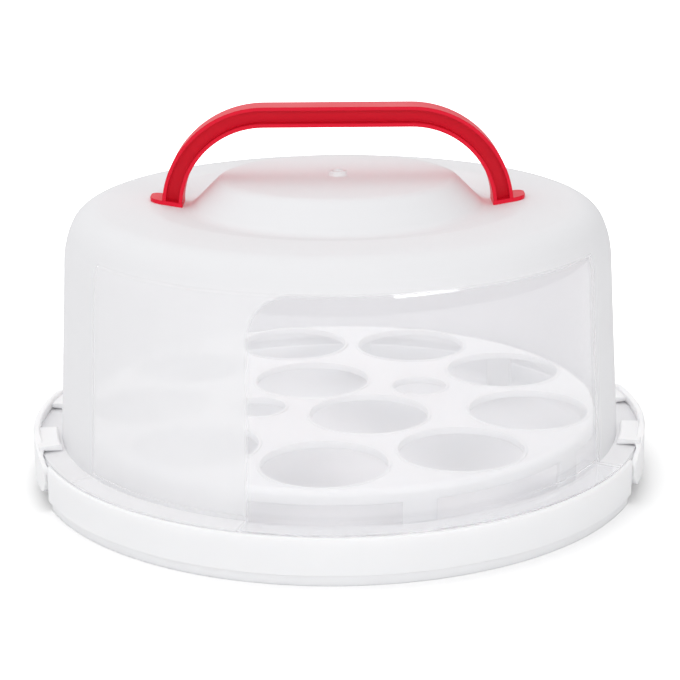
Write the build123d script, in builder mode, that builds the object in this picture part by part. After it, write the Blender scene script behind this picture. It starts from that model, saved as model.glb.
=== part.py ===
from build123d import *
import math
import os

# Round cake carrier: a tray with two swinging latches, a domed lift-off lid with
# a carrying handle, and a loose cupcake insert.
# Millimetres. Origin on the floor at the tray's centre, +Z up, latches at +X and -X.

# ---------------------------------------------------------------- driving sizes
tray_radius = 153.0            # outside of the rim
rim_height = 22.6              # floor to the top of the rim
rim_wall = 2.2                 # skirt that hangs from the rim
rim_lip_wall = 1.8             # thin lip round the lid flange
rim_rounding = 1.3             # top outer edge of the lip
foot_band_height = 4.6         # recessed band that the tray stands on
foot_band_step = 1.6           # how far that band is set back
foot_band_rise = 0.6           # height of the bevel above the band
ledge_depth = 1.6              # lid ledge, below the top of the rim
ledge_width = 14.2             # outside of the rim to the mouth of the well
ledge_wall = 2.2
ledge_rounding = 1.2
well_taper = 2.6               # the well's floor is this much smaller than its mouth
well_wall = 2.4
well_rounding = 5.0
tray_floor_height = 8.0        # upper face of the floor
tray_floor_wall = 2.4
support_ring_radius = 96.0     # ring under the floor that keeps it from sagging
support_ring_wall = 2.4
support_ring_lift = 0.4        # stays clear of the table
rim_rib_count = 12
rim_rib_wall = 1.8
rim_rib_drop = 9.0             # depth of the ribs under the ledge

lid_height = 149.5             # floor to the plateau in the middle of the lid
lid_wall = 2.0
lid_inset = 12.9               # outside of the rim to the lid wall at the flange
lid_draft = 6.1                # the wall leans in by this much up to the shoulder
shoulder_drop = 28.5           # shoulder, below the plateau
shoulder_rounding = 44.0
crown_inset = 13.6             # nearly flat crown, in from the wall at the flange
crown_drop = 11.9              # crown edge, below the plateau
crown_rounding = 15.5
crest_beyond_leg = 7.0         # crest of the crown, outboard of the handle's legs
crest_drop = 11.1
crest_rounding = 12.0
valley_inside_leg = 9.0        # bottom of the ring valley, inboard of the legs' outside
valley_width = 5.0
valley_drop = 13.9
valley_rounding = 6.0
plateau_slope = 14.0           # width of the slope from the valley to the plateau
plateau_rounding = 6.0
flange_wall = 2.2
flange_gap = 0.3               # between the flange's edge and the rim's lip
seat_gap = 0.1                 # between the flange and its ledge
nub_radius = 4.7
nub_height = 2.4
nub_taper = 8.0                # degrees
nub_dimple_radius = 2.6
nub_dimple_depth = 1.0
panel_from = -55.8             # degrees round from the front, towards +X
panel_to = 61.3
panel_rise = 2.0               # panel's lower edge, above the flange
panel_drop = 25.8              # panel's upper edge, below the plateau
panel_corner = 1.5
panel_depth = 0.5

handle_half_span = 86.0        # centre to the outside of a leg
handle_rise = 48.8             # valley to the top of the handle
handle_corner = 50.0           # outside radius of the bends
handle_band = 9.8              # depth of the section
handle_width = 17.0
handle_outer_lip = 1.7
handle_inner_lip = 1.8
handle_web = 5.0
leg_sink = 4.0                 # legs run on below the valley before they are trimmed
foot_inboard = 10.0            # foot, inboard of the leg's outside
foot_outboard = 6.0
foot_width = 17.4
foot_corner = 6.0
foot_plate_wall = 2.0
plug_inset = 1.4               # plug, inside the foot plate all round
slot_gap = 0.25                # between a plug and its slot
barb_reach = 2.4               # how far the barb passes under the lid
barb_wall = 2.4
barb_gap = 0.2                 # between a barb and the lid's underside

latch_half_angle = 23.7        # degrees
latch_gap = 0.5                # plate to the lid ledge that it hangs over
latch_wall = 2.2
latch_low = 6.5
latch_rise = 5.6               # top of the latch, above the rim
latch_slope = 23.86            # length of the slope from the level top to each end
latch_crest_rounding = 60.0
latch_end_drop = 3.0           # top of the latch's ends, below the rim
latch_low_corner = 10.0
latch_end_corner = 4.0
latch_bead = 1.1               # thickening along the plate's top
latch_bead_height = 3.4
latch_top_rounding = 1.0
hook_from = 7.0                # degrees from the latch's middle: finger gap between
hook_to = 18.0
hook_lift = 0.35               # hook's underside above the lid flange
hook_wall = 2.9
hook_relief = 1.0              # underside rises towards the plate, to swing off the flange
hook_reach_gap = 1.6           # hook's tip to the lid wall
hook_rounding = 1.6
pivot_inset = 7.0              # pivot, in from the outside of the rim
pivot_height = 10.0
pivot_pin_radius = 2.5
pivot_bore_gap = 0.06
pivot_barrel_radius = 4.2
lug_inner = 12.9               # tray lug, nearest the middle of the latch
lug_wall = 5.0
lug_side_gap = 0.5
lug_head = 1.0                 # lug's top, outboard of the pivot
knuckle_wall = 7.6
knuckle_neck = 6.0             # height of the web from a knuckle to the plate
knuckle_cover = 0.5            # plate left over the end of that web
pin_root = 0.5                 # how far a pin is sunk in its knuckle
pin_overhang = 0.3             # how far a pin passes its lug
pocket_end_gap = 0.7           # degrees from the latch's end to the side of its pocket
pocket_well_gap = 0.6          # between the pocket and the wall of the well

insert_side_gap = 6.2          # insert to the foot of the well
insert_height = 35.0           # floor to the insert's upper face
insert_wall = 2.0
insert_rounding = 3.0
insert_gap = 0.3               # legs to the tray floor
cup_radius = 29.2
cup_margin = 4.3               # outer cup to the insert's edge
outer_cup_count = 9
outer_cup_start = -94.5
inner_cup_margin = 1.8         # inner cup to the middle
inner_cup_angle = -62.5
grip_hole_radius = 13.8
grip_hole_ring = 44.0
grip_hole_angle = 20.7
hole_lip_wall = 1.5
hole_lip_rise = 0.5
hole_lip_drop = 1.0
insert_leg_width = 16.0
insert_leg_wall = 2.0
insert_skirt_drop = 4.5        # skirt left above each opening between two legs
margin = 5.0                   # how far a cutter passes what it cuts

# ---------------------------------------------------------------- worked-out sizes
ledge_height = rim_height - ledge_depth
ledge_under = ledge_height - ledge_wall
rim_inner = tray_radius - rim_wall
lip_inner = tray_radius - rim_lip_wall
foot_outer = tray_radius - foot_band_step
foot_inner = foot_outer - rim_wall
well_top_radius = tray_radius - ledge_width
well_floor_radius = well_top_radius - well_taper
well_slope = well_taper / (ledge_height - tray_floor_height)
flange_low = ledge_height + seat_gap
flange_high = flange_low + flange_wall
flange_radius = lip_inner - flange_gap
lid_radius_low = tray_radius - lid_inset
lid_radius_high = lid_radius_low - lid_draft
shoulder_height = lid_height - shoulder_drop
lid_slope = lid_draft / (shoulder_height - flange_low)
crown_radius = lid_radius_low - crown_inset
crest_radius = handle_half_span + crest_beyond_leg
valley_radius_out = handle_half_span - valley_inside_leg
valley_radius_in = valley_radius_out - valley_width
plateau_radius = valley_radius_in - plateau_slope
valley_height = lid_height - valley_drop
panel_low = flange_high + panel_rise
panel_high = lid_height - panel_drop
handle_height = valley_height + handle_rise
foot_in = handle_half_span - foot_inboard
foot_out = handle_half_span + foot_outboard
slot_in = foot_in + plug_inset - slot_gap
slot_out = foot_out - plug_inset + slot_gap
slot_half = foot_width / 2 - plug_inset + slot_gap
barb_low = valley_height - lid_wall - barb_gap - barb_wall
plate_inner = lip_inner + latch_gap
plate_outer = plate_inner + latch_wall
latch_high = rim_height + latch_rise
latch_end_high = rim_height - latch_end_drop
latch_half_width = plate_outer * math.sin(math.radians(latch_half_angle))
latch_crest_half = latch_half_width - latch_slope
hook_low = flange_high + hook_lift
hook_high = hook_low + hook_wall
hook_tip = lid_radius_low + hook_reach_gap
pivot_x = tray_radius - pivot_inset
knuckle_inner = lug_inner + lug_wall + lug_side_gap
knuckle_outer = knuckle_inner + knuckle_wall
knuckle_reach = math.sqrt(plate_outer**2 - knuckle_outer**2) - knuckle_cover - pivot_x
pocket_half_angle = latch_half_angle + pocket_end_gap
insert_radius = well_floor_radius - insert_side_gap
insert_leg_inner = insert_radius - insert_leg_wall
insert_under = insert_height - insert_wall
insert_foot = tray_floor_height + insert_gap
outer_cup_ring = insert_radius - cup_margin - cup_radius
inner_cup_ring = cup_radius + inner_cup_margin
leg_angle = math.degrees(insert_leg_width / insert_radius)
sides = (1, -1)


def upright(angle):
    """Vertical plane through Z: its x runs outwards at the angle, its y runs up."""
    turn = math.radians(angle)
    return Plane(
        origin=(0, 0, 0),
        x_dir=(math.cos(turn), math.sin(turn), 0),
        z_dir=(math.sin(turn), -math.cos(turn), 0),
    )


def front_angle(angle):
    """Degrees round from the front (-Y) towards +X, as degrees round from +X."""
    return angle - 90.0


# ---------------------------------------------------------------- base tray
with BuildPart() as base_tray:
    # One thin section, turned round Z: foot band, skirt, lip, lid ledge, well, floor.
    with BuildSketch(Plane.XZ) as tray_section:
        with BuildLine():
            Polyline(
                (0, tray_floor_height - tray_floor_wall),
                (well_floor_radius + well_wall, tray_floor_height - tray_floor_wall),
                (well_top_radius + well_wall, ledge_under),
                (rim_inner, ledge_under),
                (rim_inner, foot_band_height + foot_band_rise),
                (foot_inner, foot_band_height),
                (foot_inner, 0),
                (foot_outer, 0),
                (foot_outer, foot_band_height),
                (tray_radius, foot_band_height + foot_band_rise),
                (tray_radius, rim_height),
                (lip_inner, rim_height),
                (lip_inner, ledge_height),
                (well_top_radius, ledge_height),
                (well_floor_radius, tray_floor_height),
                (0, tray_floor_height),
                close=True,
            )
        make_face()
        rounded = (
            (well_floor_radius, tray_floor_height, well_rounding),
            (tray_radius, rim_height, rim_rounding),
            (well_top_radius, ledge_height, ledge_rounding),
        )
        for bend_x, bend_z, bend_radius in rounded:
            corner = tray_section.vertices().sort_by_distance((bend_x, bend_z, 0))[0]
            fillet(corner, radius=bend_radius)
    revolve(axis=Axis.Z)
    # Support ring under the floor.
    with BuildSketch(Plane.XY.offset(support_ring_lift)):
        Circle(support_ring_radius)
        Circle(support_ring_radius - support_ring_wall, mode=Mode.SUBTRACT)
    extrude(amount=tray_floor_height - tray_floor_wall - support_ring_lift)
    # Ribs between the skirt and the well, left out where the latches swing.
    rib_foot = ledge_height - rim_rib_drop
    rib_top = ledge_height - ledge_wall / 2
    rib_in = well_top_radius + well_wall / 2
    rib_out = rim_inner + rim_wall / 2
    for step in range(rim_rib_count):
        rib_angle = step * 360.0 / rim_rib_count
        if abs(math.sin(math.radians(rib_angle))) < math.sin(math.radians(pocket_half_angle)):
            continue
        with BuildSketch(upright(rib_angle)):
            with BuildLine():
                Polyline(
                    (rib_in - rim_rib_drop * well_slope, rib_foot),
                    (rib_out, rib_foot),
                    (rib_out, rib_top),
                    (rib_in, rib_top),
                    close=True,
                )
            make_face()
        extrude(amount=rim_rib_wall / 2, both=True)
    # Pockets for the two latches, through the skirt and the lip.
    pocket_inner = well_top_radius + well_wall + pocket_well_gap
    pocket_tip = tray_radius + margin
    for side in sides:
        middle = 0.0 if side > 0 else 180.0
        with BuildSketch(upright(middle - pocket_half_angle)):
            with BuildLine():
                Polyline(
                    (pocket_inner, -margin),
                    (pocket_tip, -margin),
                    (pocket_tip, rim_height + margin),
                    (lip_inner, rim_height + margin),
                    (lip_inner, ledge_under),
                    (pocket_inner, ledge_under),
                    close=True,
                )
            make_face()
        revolve(axis=Axis.Z, revolution_arc=2 * pocket_half_angle, mode=Mode.SUBTRACT)
    # Lugs that the latch pins turn in, each drawn on its inner face.
    neck_low = pivot_height - pivot_barrel_radius
    neck_root_low = well_floor_radius + (neck_low - tray_floor_height) * well_slope + well_wall / 2
    neck_root_high = well_top_radius + well_wall / 2
    neck_high = ledge_height - ledge_wall / 2
    for side in sides:
        for across in sides:
            lug_face = Plane(
                origin=(0, across * lug_inner, 0),
                x_dir=(side, 0, 0),
                z_dir=(0, across, 0),
            )
            up = lug_face.y_dir.Z
            with BuildSketch(lug_face):
                with BuildLine():
                    Polyline(
                        (neck_root_low, up * neck_low),
                        (pivot_x, up * neck_low),
                        (pivot_x + pivot_barrel_radius, up * pivot_height),
                        (pivot_x + lug_head, up * neck_high),
                        (neck_root_high, up * neck_high),
                        close=True,
                    )
                make_face()
                with Locations((pivot_x, up * pivot_height)):
                    Circle(pivot_barrel_radius)
            extrude(amount=lug_wall)
            with BuildSketch(lug_face):
                with Locations((pivot_x, up * pivot_height)):
                    Circle(pivot_pin_radius + pivot_bore_gap)
            extrude(amount=lug_wall, mode=Mode.SUBTRACT)
base_tray.part.label = "base_tray"


# ---------------------------------------------------------------- latches
with BuildPart() as latch_plate:
    # Curved plate with a thicker bead along its top.
    with BuildSketch(upright(-latch_half_angle)) as plate_section:
        with BuildLine():
            Polyline(
                (plate_inner, latch_low),
                (plate_outer, latch_low),
                (plate_outer, latch_high),
                (plate_inner - latch_bead, latch_high),
                (plate_inner - latch_bead, latch_high - latch_bead_height),
                (plate_inner, latch_high - latch_bead_height - latch_bead),
                close=True,
            )
        make_face()
        top_corners = plate_section.vertices().filter_by(lambda v: abs(v.Y - latch_high) < 0.01)
        fillet(top_corners, radius=latch_top_rounding)
    revolve(axis=Axis.Z, revolution_arc=2 * latch_half_angle)
    # Its outline from outside: level in the middle, sloping to two rounded ends.
    with BuildSketch(Plane.YZ) as plate_outline:
        with BuildLine():
            Polyline(
                (-latch_half_width, latch_low),
                (latch_half_width, latch_low),
                (latch_half_width, latch_end_high),
                (latch_crest_half, latch_high),
                (-latch_crest_half, latch_high),
                (-latch_half_width, latch_end_high),
                close=True,
            )
        make_face()
        for side in sides:
            for bend_y, bend_z, bend_radius in (
                (latch_half_width, latch_low, latch_low_corner),
                (latch_half_width, latch_end_high, latch_end_corner),
                (latch_crest_half, latch_high, latch_crest_rounding),
            ):
                corner = plate_outline.vertices().sort_by_distance((side * bend_y, bend_z, 0))[0]
                fillet(corner, radius=bend_radius)
    extrude(amount=plate_outer + margin, mode=Mode.INTERSECT)

with BuildPart() as latch_right:
    add(latch_plate.part)
    # Two hooks, which reach over the lid flange on either side of the finger gap.
    for start in (-hook_to, hook_from):
        with BuildSketch(upright(start)) as hook_section:
            with BuildLine():
                Polyline(
                    (hook_tip, hook_low),
                    (plate_inner + latch_wall / 2, hook_low + hook_relief),
                    (plate_inner + latch_wall / 2, hook_high),
                    (hook_tip, hook_high),
                    close=True,
                )
            make_face()
            tip_top = hook_section.vertices().sort_by_distance((hook_tip, hook_high, 0))[0]
            fillet(tip_top, radius=hook_rounding)
        revolve(axis=Axis.Z, revolution_arc=hook_to - hook_from)
    # Knuckles behind the plate, each with a pin that points at the latch's middle.
    for across in sides:
        with BuildSketch(Plane.XZ.offset(-across * knuckle_inner)):
            with Locations((pivot_x, pivot_height)):
                Circle(pivot_barrel_radius)
                Rectangle(knuckle_reach, knuckle_neck, align=(Align.MIN, Align.CENTER))
        extrude(amount=-across * knuckle_wall)
        with BuildSketch(Plane.XZ.offset(-across * (knuckle_inner + pin_root))):
            with Locations((pivot_x, pivot_height)):
                Circle(pivot_pin_radius)
        extrude(amount=across * (pin_root + lug_side_gap + lug_wall + pin_overhang))
latch_right.part.label = "latch_right"

with BuildPart() as latch_left:
    mirror(latch_right.part, about=Plane.YZ)
latch_left.part.label = "latch_left"


# ---------------------------------------------------------------- lid
# Outside of the lid as a half section that runs past the axis and below the flange.
with BuildSketch(Plane.XZ) as lid_outline:
    skirt_low = flange_low - margin
    with BuildLine():
        Polyline(
            (-margin, skirt_low),
            (lid_radius_low + lid_slope * margin, skirt_low),
            (lid_radius_high, shoulder_height),
            (crown_radius, lid_height - crown_drop),
            (crest_radius, lid_height - crest_drop),
            (valley_radius_out, valley_height),
            (valley_radius_in, valley_height),
            (plateau_radius, lid_height),
            (-margin, lid_height),
            close=True,
        )
    make_face()
    bends = (
        (lid_radius_high, shoulder_height, shoulder_rounding),
        (crown_radius, lid_height - crown_drop, crown_rounding),
        (crest_radius, lid_height - crest_drop, crest_rounding),
        (valley_radius_out, valley_height, valley_rounding),
        (valley_radius_in, valley_height, valley_rounding),
        (plateau_radius, lid_height, plateau_rounding),
    )
    for bend_x, bend_z, bend_radius in bends:
        corner = lid_outline.vertices().sort_by_distance((bend_x, bend_z, 0))[0]
        fillet(corner, radius=bend_radius)

with BuildSketch(Plane.XZ) as panel_floor:
    add(lid_outline.sketch_local)
    offset(amount=-panel_depth, mode=Mode.REPLACE)

with BuildPart() as panel_cutter:
    # Skin of the wall that is taken off to leave the shallow window panel.
    with BuildSketch(upright(front_angle(panel_from))):
        add(lid_outline.sketch_local)
        offset(amount=panel_depth)
        add(panel_floor.sketch_local, mode=Mode.SUBTRACT)
        with Locations((lid_radius_low, (panel_low + panel_high) / 2)):
            Rectangle(lid_radius_low, panel_high - panel_low, mode=Mode.INTERSECT)
    revolve(axis=Axis.Z, revolution_arc=panel_to - panel_from)
    side_faces = panel_cutter.faces().filter_by(GeomType.PLANE)
    side_faces = side_faces.filter_by(lambda f: abs(f.normal_at().Z) < 0.01)
    corner_edges = side_faces.edges().filter_by(lambda e: e.length < 4 * panel_depth)
    fillet(corner_edges, radius=panel_corner)

with BuildPart() as lid:
    with BuildSketch(Plane.XZ):
        add(lid_outline.sketch_local)
        offset(amount=-lid_wall, mode=Mode.SUBTRACT)
        with Locations((-margin, lid_height / 2)):
            Rectangle(2 * margin, 2 * lid_height, mode=Mode.SUBTRACT)
        with Locations((0, flange_low - margin)):
            Rectangle(3 * tray_radius, 2 * margin, mode=Mode.SUBTRACT)
        with BuildLine():
            Polyline(
                (lid_radius_low - lid_wall, flange_low),
                (flange_radius, flange_low),
                (flange_radius, flange_high),
                (lid_radius_low - lid_wall / 2, flange_high),
                close=True,
            )
        make_face()
    revolve(axis=Axis.Z)
    # Moulding nub with a dimple, in the middle of the plateau.
    with BuildSketch(Plane.XY.offset(lid_height - lid_wall / 2)):
        Circle(nub_radius)
    extrude(amount=nub_height + lid_wall / 2, taper=nub_taper)
    with BuildSketch(Plane.XY.offset(lid_height + nub_height - nub_dimple_depth)):
        Circle(nub_dimple_radius)
    extrude(amount=nub_dimple_depth, mode=Mode.SUBTRACT)
    # Shallow window panel in the wall.
    add(panel_cutter.part, mode=Mode.SUBTRACT)
    # Slots for the handle's plugs, square inboard and round outboard.
    for side in sides:
        with BuildSketch(Plane.XY.offset(valley_height - 2 * margin)) as slot:
            with Locations((side * (slot_in + slot_out) / 2, 0)):
                Rectangle(slot_out - slot_in, 2 * slot_half)
            outboard = slot.vertices().group_by(lambda v: round(side * v.X, 3))[-1]
            fillet(outboard, radius=foot_corner - plug_inset + slot_gap)
        extrude(amount=4 * margin, mode=Mode.SUBTRACT)
lid.part.label = "lid"


# ---------------------------------------------------------------- handle
with BuildPart() as lid_form:
    # All that lies under the lid's outer surface, to trim the legs to.
    with BuildSketch(Plane.XZ):
        add(lid_outline.sketch_local)
        with Locations((-margin, lid_height / 2)):
            Rectangle(2 * margin, 2 * lid_height, mode=Mode.SUBTRACT)
    revolve(axis=Axis.Z)

with BuildPart() as foot_form:
    # The same, one foot plate higher.
    with BuildSketch(Plane.XZ):
        add(lid_outline.sketch_local)
        offset(amount=foot_plate_wall)
        with Locations((-margin, lid_height / 2)):
            Rectangle(2 * margin, 2 * lid_height, mode=Mode.SUBTRACT)
    revolve(axis=Axis.Z)

with BuildPart() as feet:
    # Plates that follow the lid's surface.
    for side in sides:
        with BuildSketch(Plane.XY.offset(valley_height - leg_sink)) as plate:
            with Locations((side * (foot_in + foot_out) / 2, 0)):
                Rectangle(foot_out - foot_in, foot_width)
            outboard = plate.vertices().group_by(lambda v: round(side * v.X, 3))[-1]
            fillet(outboard, radius=foot_corner)
        extrude(amount=2 * leg_sink + foot_plate_wall)
    add(lid_form.part, mode=Mode.SUBTRACT)
    # Plugs through the lid's slots, each with a barb under the lid's inboard edge.
    for side in sides:
        plug_in = foot_in + plug_inset
        plug_out = foot_out - plug_inset
        with BuildSketch(Plane.XY.offset(barb_low)) as plug:
            with Locations((side * (plug_in + plug_out) / 2, 0)):
                Rectangle(plug_out - plug_in, foot_width - 2 * plug_inset)
            outboard = plug.vertices().group_by(lambda v: round(side * v.X, 3))[-1]
            fillet(outboard, radius=foot_corner - plug_inset)
        extrude(amount=valley_height + 2 * leg_sink - barb_low)
        with BuildSketch(Plane.XY.offset(barb_low)):
            with Locations((side * plug_in, 0)):
                Rectangle(2 * (plug_inset + barb_reach), foot_width - 2 * plug_inset)
        extrude(amount=barb_wall)
    add(foot_form.part, mode=Mode.INTERSECT)

with BuildPart() as handle:
    # Arched band in three layers: outer lip, web and inner lip.
    leg_foot = valley_height - leg_sink
    band_layers = (
        (0.0, handle_outer_lip, handle_width / 2),
        (handle_outer_lip / 2, handle_band - handle_inner_lip / 2, handle_web / 2),
        (handle_band - handle_inner_lip, handle_band, handle_width / 2),
    )
    for near, far, half in band_layers:
        with BuildSketch(Plane.XZ):
            for depth, mode in ((near, Mode.ADD), (far, Mode.SUBTRACT)):
                leg_x = handle_half_span - depth
                with BuildLine():
                    FilletPolyline(
                        (-leg_x, leg_foot),
                        (-leg_x, handle_height - depth),
                        (leg_x, handle_height - depth),
                        (leg_x, leg_foot),
                        radius=handle_corner - depth,
                    )
                    Line((leg_x, leg_foot), (-leg_x, leg_foot))
                make_face(mode=mode)
        extrude(amount=half, both=True)
    add(lid_form.part, mode=Mode.SUBTRACT)
    add(feet.part)
handle.part.label = "handle"


# ---------------------------------------------------------------- cupcake insert
with BuildPart() as cupcake_insert:
    # Disc with a skirt; the skirt is later cut back to legs.
    with BuildSketch(Plane.XZ) as insert_section:
        with BuildLine():
            Polyline(
                (0, insert_under),
                (insert_leg_inner, insert_under),
                (insert_leg_inner, insert_foot),
                (insert_radius, insert_foot),
                (insert_radius, insert_height),
                (0, insert_height),
                close=True,
            )
        make_face()
        shoulder = insert_section.vertices().sort_by_distance((insert_radius, insert_height, 0))[0]
        fillet(shoulder, radius=insert_rounding)
        crook = insert_section.vertices().sort_by_distance((insert_leg_inner, insert_under, 0))[0]
        fillet(crook, radius=insert_rounding - insert_wall / 2)
    revolve(axis=Axis.Z)
    # Openings between the legs, one below each outer cup.
    opening_half = 180.0 / outer_cup_count - leg_angle / 2
    opening_top = insert_under - insert_skirt_drop
    for step in range(outer_cup_count):
        opening_angle = outer_cup_start + step * 360.0 / outer_cup_count
        with BuildSketch(upright(opening_angle - opening_half)):
            with BuildLine():
                Polyline(
                    (insert_leg_inner - margin, insert_foot - margin),
                    (insert_radius + margin, insert_foot - margin),
                    (insert_radius + margin, opening_top),
                    (insert_leg_inner - margin, opening_top),
                    close=True,
                )
            make_face()
        revolve(axis=Axis.Z, revolution_arc=2 * opening_half, mode=Mode.SUBTRACT)
    # Holes, each with a thin lip above and below the disc.
    lip_low = insert_under - hole_lip_drop
    lip_height = hole_lip_drop + insert_wall + hole_lip_rise
    hole_sets = (
        (outer_cup_ring, outer_cup_start, outer_cup_count, cup_radius),
        (inner_cup_ring, inner_cup_angle, 2, cup_radius),
        (grip_hole_ring, grip_hole_angle, 2, grip_hole_radius),
    )
    for ring, start, count, radius in hole_sets:
        with BuildSketch(Plane.XY.offset(lip_low)):
            with PolarLocations(ring, count, start_angle=start):
                Circle(radius + hole_lip_wall)
        extrude(amount=lip_height)
    for ring, start, count, radius in hole_sets:
        with BuildSketch(Plane.XY.offset(lip_low)):
            with PolarLocations(ring, count, start_angle=start):
                Circle(radius)
        extrude(amount=lip_height, mode=Mode.SUBTRACT)
cupcake_insert.part.label = "cupcake_insert"


# ---------------------------------------------------------------- export
os.makedirs("parts", exist_ok=True)
for piece in (base_tray, latch_right, latch_left, lid, handle, cupcake_insert):
    export_step(piece.part, f"parts/{piece.part.label}.step")
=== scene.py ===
# %% [markdown]
# # A round cake carrier in frosted, clear, white and red polypropylene
# The carrier is a white tray with two side latches, a frosted dome with a milky and clear panel, a red
# handle and a loose cupcake insert. All six pieces fit or move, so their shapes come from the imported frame.
# This notebook gives them their plastics, and adds the camera, the table and the light.

# %% Load the frame
import math
import bpy
import numpy as np
from mathutils import Matrix, Vector


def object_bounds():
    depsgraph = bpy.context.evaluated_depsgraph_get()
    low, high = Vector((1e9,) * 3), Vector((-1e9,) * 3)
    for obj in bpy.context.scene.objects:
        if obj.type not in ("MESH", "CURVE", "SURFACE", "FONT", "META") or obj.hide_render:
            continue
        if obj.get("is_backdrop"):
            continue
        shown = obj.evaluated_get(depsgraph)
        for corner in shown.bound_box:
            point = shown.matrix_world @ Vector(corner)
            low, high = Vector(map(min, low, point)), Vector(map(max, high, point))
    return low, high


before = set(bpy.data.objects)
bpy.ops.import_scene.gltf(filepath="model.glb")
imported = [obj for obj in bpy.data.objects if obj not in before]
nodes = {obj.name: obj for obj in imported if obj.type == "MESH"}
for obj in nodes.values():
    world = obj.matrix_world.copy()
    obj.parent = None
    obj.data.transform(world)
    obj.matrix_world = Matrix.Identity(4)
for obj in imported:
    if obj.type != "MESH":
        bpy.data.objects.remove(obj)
cad_low, cad_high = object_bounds()
mm = 0.001
print("pieces in the frame:", ", ".join(sorted(nodes)))
print("box in mm:", [round((high - low) / mm, 1) for low, high in zip(cad_low, cad_high)])

# %% [markdown]
# ## Helpers for materials
# Colours are written as sRGB hex, as a designer would note them. One function turns them into the linear
# numbers that the renderer works in. A second one adds a node with its settings and links, so that each
# material below reads as a short list of steps, and a third gives an empty material to build on.

# %% Colour from hex to linear
def linear(hex_code):
    """sRGB hex to linear RGBA: v/12.92 below 0.04045, else ((v + 0.055) / 1.055) to the power 2.4."""
    srgb = np.array([int(hex_code[i:i + 2], 16) for i in (0, 2, 4)]) / 255.0
    rgb = np.where(srgb <= 0.04045, srgb / 12.92, ((srgb + 0.055) / 1.055) ** 2.4)
    return (*rgb.tolist(), 1.0)


print("middle grey in linear light:", round(linear("808080")[0], 3))

# %% A node, and an empty material
def add_node(tree, kind, inputs=None, **settings):
    """Adds a node of a kind. A value in inputs is set, and a socket in inputs is linked."""
    made = tree.nodes.new("ShaderNode" + kind)
    for name, value in settings.items():
        setattr(made, name, value)
    for name, value in (inputs or {}).items():
        if isinstance(value, bpy.types.NodeSocket):
            tree.links.new(value, made.inputs[name])
        else:
            made.inputs[name].default_value = value
    return made


def empty_material(name):
    """A new material with an empty node tree, and its output node."""
    made = bpy.data.materials.new(name)
    made.use_nodes = True
    made.node_tree.nodes.clear()
    return made, add_node(made.node_tree, "OutputMaterial")


POLYPROPYLENE_IOR = 1.49
print("IOR of polypropylene:", POLYPROPYLENE_IOR)

# %% [markdown]
# ## Moulded polypropylene
# The tray, the latches, the insert and the handle are injection-moulded polypropylene. Their moulds are
# spark-eroded, which leaves a fine satin grain. A picture of that grain could be wrapped round each piece,
# but noise on the piece's own coordinates has no seams and keeps its real size. The white plastic is waxy and
# lets light run a few millimetres under its skin, so it gets a share of subsurface light. The red is dyed
# through, and stays on the surface.

# %% The grain of a spark-eroded mould
GRAIN_SIZE = 0.9 * mm        # the real grain is near 0.1 mm, and is drawn coarser so that it shows
RED_GRAIN_SIZE = 0.8 * mm    # the handle's mould is a little finer
GRAIN_HEIGHT = 0.02 * mm
EDGE_ROUNDING = 0.6 * mm     # a moulded edge is never sharp, and its rounding catches the light


def moulded_grain(tree, place, grain_size):
    """A normal with rounded edges and a fine grain. The grain is noise on Object coordinates, and 1 / its
    size is its scale, so one lump of noise is one grain."""
    grain = add_node(tree, "TexNoise", {"Vector": place, "Scale": 1 / grain_size, "Detail": 2.0})
    edge = add_node(tree, "Bevel", {"Radius": EDGE_ROUNDING}, samples=6)
    return add_node(tree, "Bump", {
        "Height": grain.outputs["Fac"],
        "Distance": GRAIN_HEIGHT,
        "Strength": 1.0,
        "Normal": edge.outputs[0],
    }).outputs["Normal"]


print("grains across the tray:", round((cad_high[0] - cad_low[0]) / GRAIN_SIZE))

# %% Satin polypropylene
FLOW_MARKS = 45 * mm         # the melt cools unevenly, in patches of about this size
FLOW_LOW = 0.3               # the noise that draws them seldom leaves the range from here
FLOW_HIGH = 0.7              # to here
FLOW_ROUGHNESS = 0.04        # how far roughness drifts between the patches, each way
FLOW_TINT = 0.985            # the colour's strength in the darkest patch
GLOW_REACH = (1.0, 0.95, 0.9)    # red light runs a little further under the skin than blue


def satin_polypropylene(name, colour, roughness, gloss, grain_size, glow, depth):
    """Moulded plastic. Roughness and tint drift a little with the melt's flow. gloss is the shader's specular
    level, glow is the share of light that runs under the skin, and depth is how many metres it runs."""
    made, output = empty_material(name)
    tree = made.node_tree
    place = add_node(tree, "TexCoord").outputs["Object"]
    flow = add_node(tree, "TexNoise", {"Vector": place, "Scale": 1 / FLOW_MARKS, "Detail": 1.0})
    rough = add_node(tree, "MapRange", {
        "Value": flow.outputs["Fac"], "From Min": FLOW_LOW, "From Max": FLOW_HIGH,
        "To Min": roughness - FLOW_ROUGHNESS, "To Max": roughness + FLOW_ROUGHNESS,
    })
    tint = add_node(tree, "MapRange", {
        "Value": flow.outputs["Fac"], "From Min": FLOW_LOW, "From Max": FLOW_HIGH,
        "To Min": FLOW_TINT, "To Max": 1.0,
    })
    shade = add_node(tree, "VectorMath", {0: linear(colour)[:3], "Scale": tint.outputs[0]}, operation="SCALE")
    surface = add_node(tree, "BsdfPrincipled", {
        "Base Color": shade.outputs[0],
        "Roughness": rough.outputs[0],
        "IOR": POLYPROPYLENE_IOR,
        "Specular IOR Level": gloss,
        "Subsurface Weight": glow,
        "Subsurface Radius": GLOW_REACH,
        "Subsurface Scale": depth,
        "Normal": moulded_grain(tree, place, grain_size),
    })
    tree.links.new(surface.outputs[0], output.inputs["Surface"])
    return made


# The tray and the latches: a satin white that looks soft, because light runs under it.
white_pp = satin_polypropylene(
    "white_polypropylene_satin", "f6f6f8", roughness=0.34, gloss=0.5, grain_size=GRAIN_SIZE,
    glow=0.4, depth=4 * mm)
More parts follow.
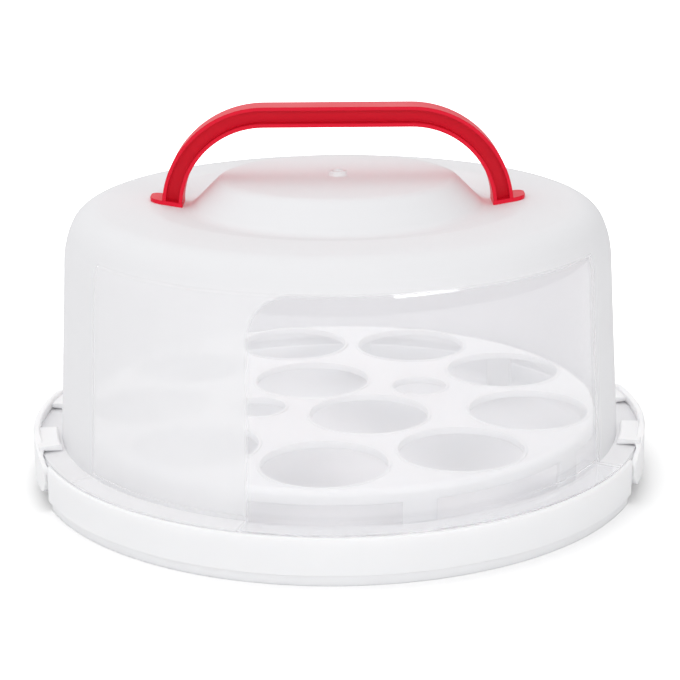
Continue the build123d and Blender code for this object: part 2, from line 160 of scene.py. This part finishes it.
# The insert: a little duller, and milkier, because more light runs further under it.
insert_pp = satin_polypropylene(
    "insert_polypropylene_satin", "f8f8fa", roughness=0.42, gloss=0.5, grain_size=GRAIN_SIZE,
    glow=0.7, depth=6 * mm)
# The handle: a red with little gloss, so that it stays deep where it faces the light.
red_pp = satin_polypropylene(
    "red_polypropylene_moulded", "e41030", roughness=0.42, gloss=0.2, grain_size=RED_GRAIN_SIZE,
    glow=0.0, depth=2 * mm)
print("satin plastics:", white_pp.name, insert_pp.name, red_pp.name)

# %% [markdown]
# ## The dome: where it is frosted, milky and clear
# The dome is one moulding of natural polypropylene, and only the skin of its mould differs. Most of it is
# blasted, and scatters light. The shallow panel in its front is finer, and lets shapes behind it show
# faintly. The right part of the panel is polished, and is a clear window with a round upper corner. The
# window could be a separate piece of mesh, but it is the same wall, so it is drawn by the material instead.
# The wall is round, so the outline is worked out from the angle round Z and the height.

# %% The panel's outline
PANEL_FROM = math.radians(-55.8)       # its left edge, round from the front towards +X
PANEL_TO = math.radians(61.3)          # its right edge
PANEL_TOP = 123.7 * mm                 # height of its upper edge
PANEL_CORNER = 1.5 * mm                # rounding of its upper left corner
WINDOW_FROM = math.radians(-17.4)      # where it turns from milky to clear
WINDOW_CORNER = 21 * mm                # rounding of the clear part's upper left corner
WALL_RADIUS = 138 * mm                 # of the wall at mid height, where arc length is measured
BLEND = 1 * mm                         # one finish blends into the next by this much to each side


def panel_mask(tree, place, start, corner):
    """1 inside a part of the panel, 0 outside. Its left edge is at the angle start and meets the upper edge
    in a corner of that radius: the metres inside are corner minus the length of (corner - metres from the
    left edge, corner - metres from the upper edge), each no less than 0. The right edge is straight, and the
    foot runs down into the flange."""
    split = add_node(tree, "SeparateXYZ", {0: place})
    front = add_node(tree, "Math", {0: split.outputs["Y"], 1: -1.0}, operation="MULTIPLY")
    angle = add_node(tree, "Math", {0: split.outputs["X"], 1: front.outputs[0]}, operation="ARCTAN2")
    short_left = add_node(tree, "Math", {
        0: angle.outputs[0], 1: -WALL_RADIUS, 2: corner + WALL_RADIUS * start,
    }, operation="MULTIPLY_ADD")
    short_up = add_node(tree, "Math", {0: split.outputs["Z"], 1: corner - PANEL_TOP}, operation="ADD")
    short = add_node(tree, "CombineXYZ", {"X": short_left.outputs[0], "Y": short_up.outputs[0]})
    over = add_node(tree, "VectorMath", {0: short.outputs[0], 1: (0, 0, 0)}, operation="MAXIMUM")
    away = add_node(tree, "VectorMath", {0: over.outputs[0]}, operation="LENGTH")
    in_corner = add_node(tree, "Math", {0: corner, 1: away.outputs["Value"]}, operation="SUBTRACT")
    in_right = add_node(tree, "Math", {
        0: angle.outputs[0], 1: -WALL_RADIUS, 2: WALL_RADIUS * PANEL_TO,
    }, operation="MULTIPLY_ADD")
    inside = add_node(tree, "Math", {0: in_corner.outputs[0], 1: in_right.outputs[0]}, operation="MINIMUM")
    return add_node(tree, "MapRange", {
        "Value": inside.outputs[0], "From Min": -BLEND, "From Max": BLEND, "To Min": 0.0, "To Max": 1.0,
    }).outputs[0]


print("clear part, mm of arc:", round(WALL_RADIUS * (PANEL_TO - WINDOW_FROM) / mm, 1))

# %% [markdown]
# ## The dome: its three finishes
# Each finish is the same plastic with another skin, so each is one shader with its own numbers. So thin a
# wall hardly bends what lies behind it, so the shader that lets light through has a low IOR, and a coat over
# it gives the gloss of polypropylene. A plain glass shader would bend the insert out of its place.

# %% One finish of the dome's wall
THIN_WALL_IOR = 1.2
UNDER_COAT_GLOSS = 0.3       # specular level below the coat, which adds the rest of the gloss


def wall_finish(tree, colour, roughness, see_through, coat, coat_roughness):
    """The wall with one skin. see_through is the share of light that goes through it, and the rest is
    scattered back by the milky plastic."""
    return add_node(tree, "BsdfPrincipled", {
        "Base Color": linear(colour),
        "Roughness": roughness,
        "IOR": THIN_WALL_IOR,
        "Specular IOR Level": UNDER_COAT_GLOSS,
        "Transmission Weight": see_through,
        "Coat Weight": coat,
        "Coat Roughness": coat_roughness,
        "Coat IOR": POLYPROPYLENE_IOR,
    })


print("IOR of the wall and of its coat:", THIN_WALL_IOR, POLYPROPYLENE_IOR)

# %% Frosted polypropylene with a window
PIT_SIZE = 0.8 * mm          # blasting leaves pits of about 0.1 mm, drawn coarser so that they show
PIT_DEPTH = 0.01 * mm


def dome_polypropylene():
    """Natural polypropylene: blasted skin, milky skin in the panel, and polished skin in its clear part."""
    made, output = empty_material("frosted_polypropylene_with_window")
    tree = made.node_tree
    place = add_node(tree, "TexCoord").outputs["Object"]
    pits = add_node(tree, "TexNoise", {"Vector": place, "Scale": 1 / PIT_SIZE, "Detail": 2.0})
    pitted = add_node(tree, "Bump", {"Height": pits.outputs["Fac"], "Distance": PIT_DEPTH, "Strength": 1.0})
    # Blasted: a flat white that hides nearly all behind it. Milky: shapes behind it show faintly.
    # Polished: clear and glossy, with a trace of the plastic's own haze.
    blasted = wall_finish(tree, "ececee", roughness=0.7, see_through=0.14, coat=0.08, coat_roughness=0.35)
    milky = wall_finish(tree, "f3f3f5", roughness=0.12, see_through=0.43, coat=0.4, coat_roughness=0.25)
    polished = wall_finish(tree, "f8f8fa", roughness=0.05, see_through=0.84, coat=0.9, coat_roughness=0.04)
    tree.links.new(pitted.outputs["Normal"], blasted.inputs["Normal"])
    in_panel = panel_mask(tree, place, PANEL_FROM, PANEL_CORNER)
    in_window = panel_mask(tree, place, WINDOW_FROM, WINDOW_CORNER)
    unclear = add_node(tree, "MixShader", {0: in_panel, 1: blasted.outputs[0], 2: milky.outputs[0]})
    wall = add_node(tree, "MixShader", {0: in_window, 1: unclear.outputs[0], 2: polished.outputs[0]})
    # Lamp light and light from matt surfaces pass the thin wall unbent, as through real milky plastic.
    through = add_node(tree, "BsdfTransparent", {"Color": (1, 1, 1, 1)})
    ray = add_node(tree, "LightPath").outputs
    soft = add_node(tree, "Math", {0: ray["Is Shadow Ray"], 1: ray["Is Diffuse Ray"]}, operation="MAXIMUM")
    both = add_node(tree, "MixShader", {0: soft.outputs[0], 1: wall.outputs[0], 2: through.outputs[0]})
    tree.links.new(both.outputs[0], output.inputs["Surface"])
    return made


dome_pp = dome_polypropylene()
print("dome:", dome_pp.name, "with", len(dome_pp.node_tree.nodes), "nodes")

# %% [markdown]
# ## Give the pieces their plastics
# The meshes of the frame already have the right shape and size, so they stay as they are. Each piece comes
# out of one mould in one plastic, and so gets one material. The latches are moulded from the tray's white.

# %% Each piece and its plastic
plastics = {
    "base_tray": white_pp,
    "latch_right": white_pp,
    "latch_left": white_pp,
    "cupcake_insert": insert_pp,
    "handle": red_pp,
    "lid": dome_pp,
}
for name, plastic in plastics.items():
    nodes[name].data.materials.clear()
    nodes[name].data.materials.append(plastic)
print("plastics given to", len(plastics), "pieces")

# %% [markdown]
# ## Camera
# A long lens stands a little above the lid and looks down at the front. Its place, turn and lens are real
# values, so the rims of tray and lid come out as the right ellipses. The shift only frames the object. The
# turn is built from three directions, which is easier to follow than three angles in the right order.

# %% Which way the camera looks
CAMERA_AT = Vector((-0.57, -822.48, 311.94)) * mm
CAMERA_YAW = math.radians(1.294)       # to the right of +Y
CAMERA_PITCH = math.radians(15.548)    # below level
CAMERA_ROLL = math.radians(-0.217)

look = Vector((
    math.sin(CAMERA_YAW) * math.cos(CAMERA_PITCH),
    math.cos(CAMERA_YAW) * math.cos(CAMERA_PITCH),
    -math.sin(CAMERA_PITCH),
))
level_right = Vector((math.cos(CAMERA_YAW), -math.sin(CAMERA_YAW), 0.0))
level_up = level_right.cross(look)
right = math.cos(CAMERA_ROLL) * level_right + math.sin(CAMERA_ROLL) * level_up
up = -math.sin(CAMERA_ROLL) * level_right + math.cos(CAMERA_ROLL) * level_up
turn = Matrix((right, up, -look)).transposed().to_4x4()
print("looks along", [round(part, 3) for part in look])

# %% Camera and lens
FRAME_WIDTH = 680            # pixels
FOCAL_PIXELS = 1700.3
SHIFT_PIXELS = 35
SENSOR_MM = 36.0

camera = bpy.data.objects.new("camera", bpy.data.cameras.new("camera"))
bpy.context.scene.collection.objects.link(camera)
camera.matrix_world = Matrix.Translation(CAMERA_AT) @ turn
camera.data.sensor_width = SENSOR_MM
camera.data.lens = FOCAL_PIXELS * SENSOR_MM / FRAME_WIDTH
camera.data.shift_x = -SHIFT_PIXELS / FRAME_WIDTH
camera.data.shift_y = -SHIFT_PIXELS / FRAME_WIDTH
bpy.context.scene.camera = camera
print("lens in mm:", round(camera.data.lens, 1))

# %% [markdown]
# ## Table
# The carrier stands on white card. Near the foot the card is a plain matt surface that keeps the shadow,
# and further out it fades into the white of the backdrop, so that no horizon shows. A curved backdrop would
# do the same, but it would have to be very large to leave every side view free.

# %% White card
TABLE_HALF = 4.0             # metres from the middle to each edge
FADE_FROM = 0.145            # metres from the middle, just inside the foot
FADE_TO = 0.36
FADE_LOW = 0.10              # how much white is added at FADE_FROM
FADE_HIGH = 0.9              # and at FADE_TO, where the card and its light make plain white


def white_card():
    """A matt surface that fades into the white of the backdrop away from the object. Only straight views
    see the fade, so it lights nothing."""
    made, output = empty_material("white_card_table")
    tree = made.node_tree
    card = add_node(tree, "BsdfDiffuse", {"Color": linear("f8f8f8")})
    ray = add_node(tree, "LightPath").outputs
    straight = add_node(tree, "Math", {
        0: ray["Is Camera Ray"], 1: ray["Is Transmission Ray"],
    }, operation="MAXIMUM")
    place = add_node(tree, "TexCoord").outputs["Object"]
    away = add_node(tree, "VectorMath", {0: place}, operation="LENGTH")
    fade = add_node(tree, "MapRange", {
        "Value": away.outputs["Value"],
        "From Min": FADE_FROM, "From Max": FADE_TO, "To Min": FADE_LOW, "To Max": FADE_HIGH,
    })
    strength = add_node(tree, "Math", {0: straight.outputs[0], 1: fade.outputs[0]}, operation="MULTIPLY")
    glow = add_node(tree, "Emission", {"Color": (1, 1, 1, 1), "Strength": strength.outputs[0]})
    both = add_node(tree, "AddShader", {0: card.outputs[0], 1: glow.outputs[0]})
    tree.links.new(both.outputs[0], output.inputs["Surface"])
    return made


corners = [(-TABLE_HALF, -TABLE_HALF, 0), (TABLE_HALF, -TABLE_HALF, 0),
           (TABLE_HALF, TABLE_HALF, 0), (-TABLE_HALF, TABLE_HALF, 0)]
table_mesh = bpy.data.meshes.new("table")
table_mesh.from_pydata(corners, [], [(0, 1, 2, 3)])
table_mesh.materials.append(white_card())
table = bpy.data.objects.new("table", table_mesh)
bpy.context.scene.collection.objects.link(table)
table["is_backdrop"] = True
print("table, metres across:", 2 * TABLE_HALF)

# %% [markdown]
# ## Tent
# A white tent stands round the table. It lights the matt surfaces from all sides, more from overhead and
# less from the right, and the camera sees it as plain white. Gloss sees a darker room in front, which keeps
# the red deep. One plain white world would be simpler, but then every side of the dome would look the same.

# %% The tent's brightness by direction
MATT_SIDE = 0.56             # brightness that matt surfaces get from the horizon
MATT_TOP = 1.08              # and from straight overhead
RIGHT_SIDE = 0.65            # how much of the light is left on the far right
RIGHT_DARKEST = 0.8          # how far to the right that is, where 1 is straight right
ROOM_IN_FRONT = 0.35         # brightness of the room that gloss sees in front
ROOM_DARKEST = -0.8          # how far to the front that is, where -1 is straight in front
ROOM_END = -0.1              # where the room ends, a little before the sides
STRAIGHT_WHITE = 1.0         # what the camera sees, directly or through the window

world = bpy.data.worlds.new("white_tent")
world.use_nodes = True
bpy.context.scene.world = world
tree = world.node_tree
tree.nodes.clear()
# Each part of the direction runs from -1 to 1: X to the right, Y to the back and Z up.
toward = add_node(tree, "SeparateXYZ", {0: add_node(tree, "TexCoord").outputs["Generated"]}).outputs
front_to_back = add_node(tree, "MapRange", {
    "Value": toward["Y"], "From Min": ROOM_DARKEST, "From Max": ROOM_END,
    "To Min": ROOM_IN_FRONT, "To Max": 1.0,
})
left_to_right = add_node(tree, "MapRange", {
    "Value": toward["X"], "From Min": 0.0, "From Max": RIGHT_DARKEST, "To Min": 1.0, "To Max": RIGHT_SIDE,
})
side_to_top = add_node(tree, "MapRange", {
    "Value": toward["Z"], "From Min": 0.0, "From Max": 1.0, "To Min": MATT_SIDE, "To Max": MATT_TOP,
})
print("tent, side and top:", MATT_SIDE, MATT_TOP)

# %% What each kind of view gets from the tent
for_gloss = add_node(tree, "Math", {
    0: front_to_back.outputs[0], 1: left_to_right.outputs[0],
}, operation="MULTIPLY")
for_matt = add_node(tree, "Math", {
    0: side_to_top.outputs[0], 1: left_to_right.outputs[0],
}, operation="MULTIPLY")
ray = add_node(tree, "LightPath").outputs
straight = add_node(tree, "Math", {
    0: ray["Is Camera Ray"], 1: ray["Is Transmission Ray"],
}, operation="MAXIMUM")
matt_or_gloss = add_node(tree, "Mix", {
    "Factor": ray["Is Glossy Ray"], "A": for_matt.outputs[0], "B": for_gloss.outputs[0],
})
level = add_node(tree, "Mix", {
    "Factor": straight.outputs[0], "A": matt_or_gloss.outputs[0], "B": STRAIGHT_WHITE,
})
tent = add_node(tree, "Background", {"Color": (1, 1, 1, 1), "Strength": level.outputs[0]})
add_node(tree, "OutputWorld", {"Surface": tent.outputs[0]})
print("tent nodes:", len(tree.nodes))

# %% [markdown]
# ## Lamps
# The tent alone would leave white plastic flat, so three softboxes each do one job. A large one behind lights
# the lid's top, so that the handle drops no shadow on it. A small one at the front right gives the bright
# streak at the window's upper edge. A low, wide one in front fills the handle's recess and the tray's rim,
# and is kept out of reflections so that it leaves no image of itself in the dome.

# %% Softboxes
LAMP_TARGET = Vector((0, 0, 70)) * mm    # a point inside the dome, which every softbox faces


def softbox(name, azimuth, elevation, distance, width, height, level):
    """A rectangle of light that faces the dome. azimuth is in degrees from the front towards +X, elevation
    in degrees above level, and the rest of its place in metres. level is the brightness of its face, so its
    power is level x pi x area."""
    data = bpy.data.lights.new(name, "AREA")
    data.shape = "RECTANGLE"
    data.size = width
    data.size_y = height
    data.energy = level * math.pi * width * height
    out = math.radians(azimuth)
    rise = math.radians(elevation)
    away = Vector((math.sin(out) * math.cos(rise), -math.cos(out) * math.cos(rise), math.sin(rise)))
    facing = away.to_track_quat("Z", "Y").to_matrix().to_4x4()
    made = bpy.data.objects.new(name, data)
    made.matrix_world = Matrix.Translation(away * distance + LAMP_TARGET) @ facing
    bpy.context.scene.collection.objects.link(made)
    return made


behind = softbox(
    "softbox_behind", azimuth=-150, elevation=60, distance=1.7, width=2.2, height=1.8, level=0.42)
streak = softbox(
    "softbox_streak", azimuth=35, elevation=19, distance=2.0, width=0.92, height=0.22, level=7.0)
fill = softbox(
    "softbox_fill", azimuth=-16, elevation=17, distance=2.2, width=2.0, height=0.9, level=1.1)
fill.visible_transmission = False
fill.visible_glossy = False
bpy.context.scene.view_settings.view_transform = "Standard"
print("lamps, watts:", [round(box.data.energy, 1) for box in (behind, streak, fill)])

# %% [markdown]
# ## Finish
# Materials and light don't change a size. To show that, the box of the CAD pieces from the start and the box
# of all that can be seen now are compared, and how far the upper corner moved is printed.

# %% Sizes, and the finish
now_low, now_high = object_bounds()
moved = [round((now - cad) / mm, 3) for now, cad in zip(now_high, cad_high)]
print("upper corner of the box moved by, mm:", moved)
